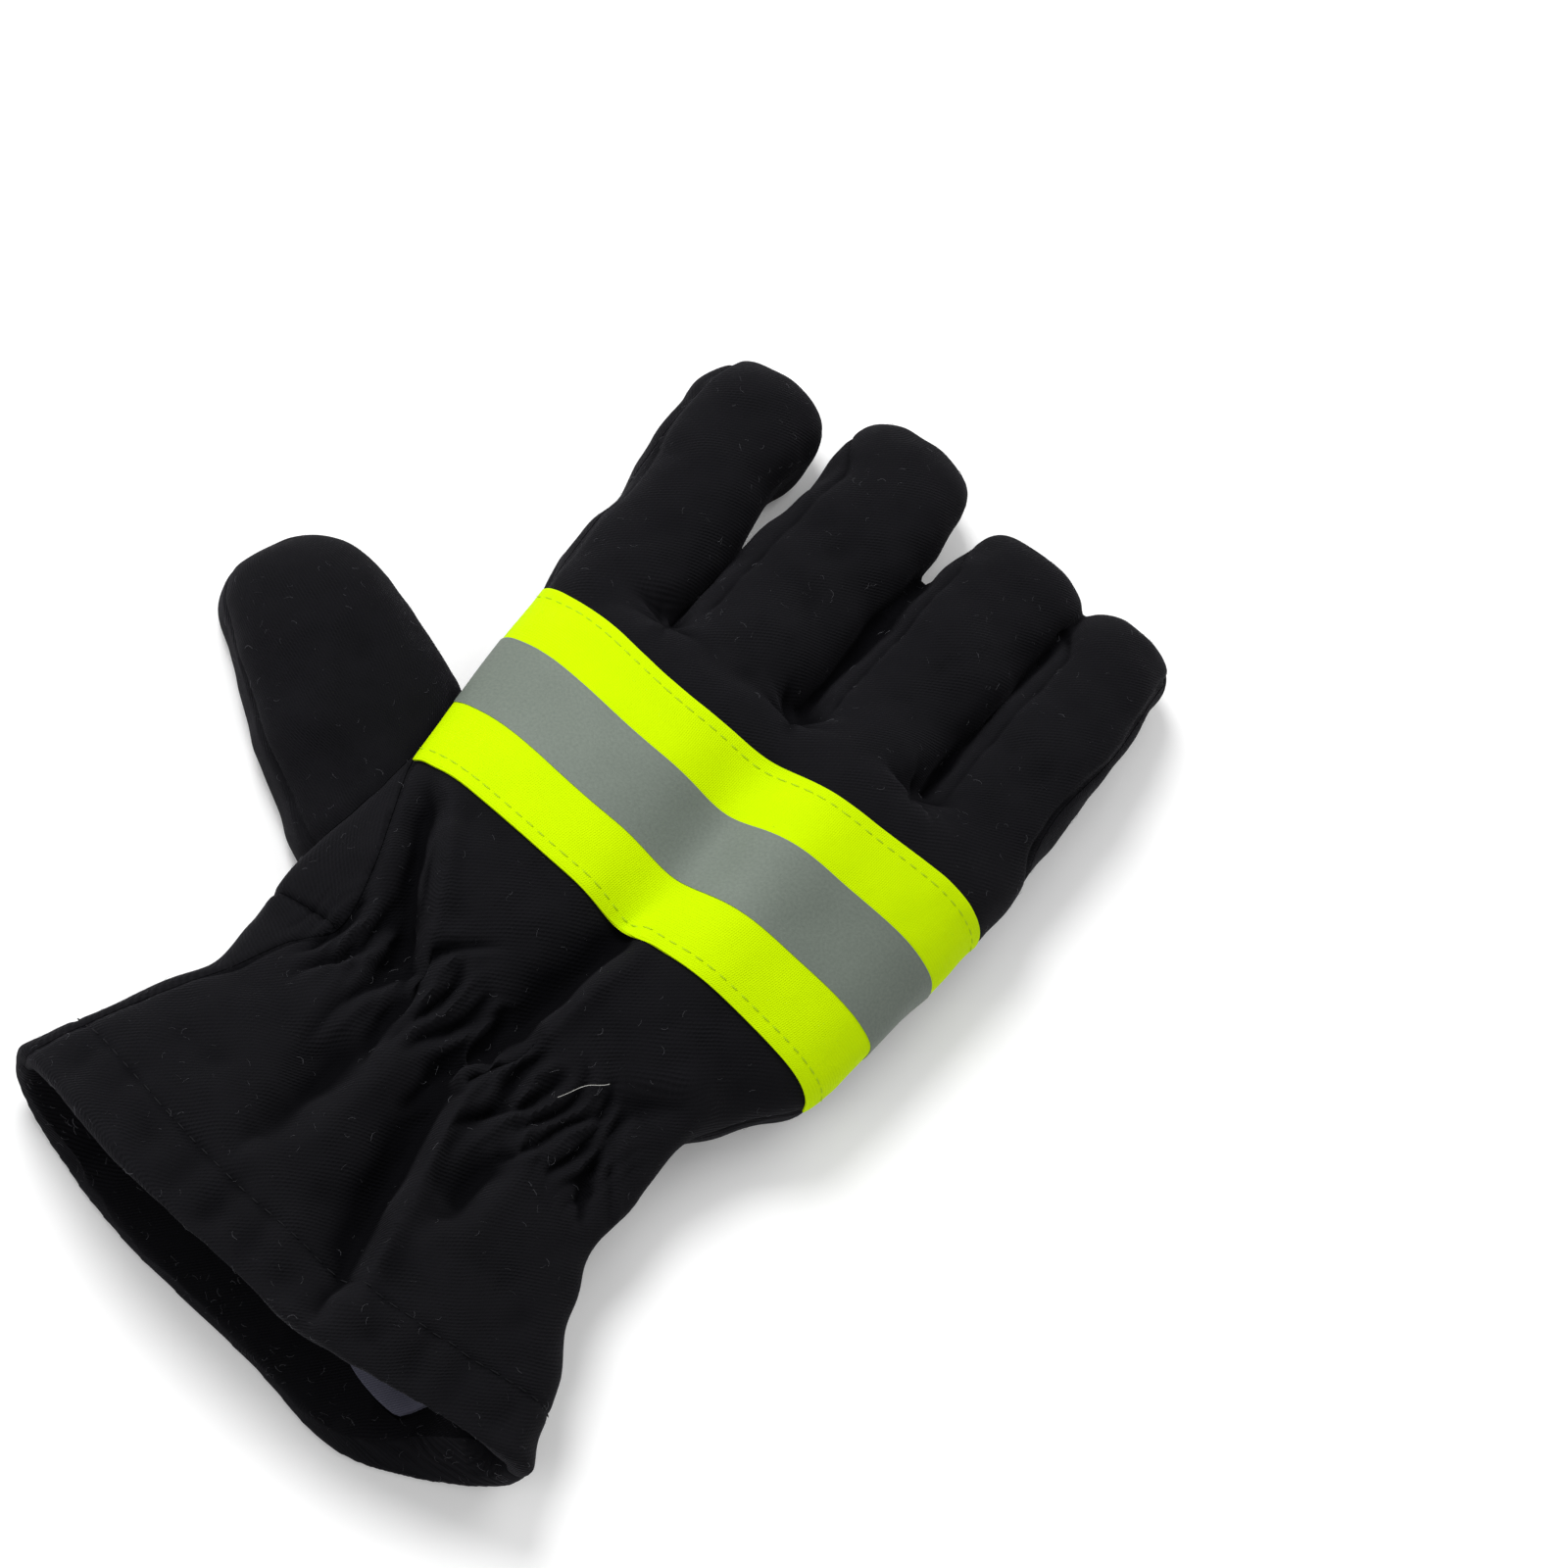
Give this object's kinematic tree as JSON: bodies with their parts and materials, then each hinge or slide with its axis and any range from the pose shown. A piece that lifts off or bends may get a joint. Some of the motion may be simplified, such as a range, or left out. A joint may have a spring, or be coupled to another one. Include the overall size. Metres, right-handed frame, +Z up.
{
  "type": "firefighter glove",
  "caption": "Black twill firefighter glove for the right hand, gathered at the wrist, with a yellow and silver reflective tape across the back and a flared open cuff.",
  "frame": {"origin": "middle of the bounding box, on the surface that the glove lies on", "axes": "+Y from the cuff to the fingertips, +X towards the little finger, +Z up through the back of the hand"},
  "size_m": [0.164, 0.2598, 0.037],
  "materials": {
    "black_twill": "brushed twill, matt with a faint sheen",
    "lining_cloth": "lilac-grey woven lining",
    "yellow_tape": "fluorescent yellow-green woven tape",
    "silver_film": "grey retroreflective film with a fine grain"
  },
  "bodies": {
    "root": {"back_panel": "black_twill", "palm_panel": "black_twill", "cuff_palm": "black_twill", "thumb_back": "black_twill", "thumb_front": "black_twill", "fourchette_index_middle": "black_twill", "fourchette_middle_ring": "black_twill", "fourchette_ring_little": "black_twill", "cuff_lining": "lining_cloth", "reflective_tape": "yellow_tape", "silver_stripe": "silver_film"}
  },
  "joints": []
}
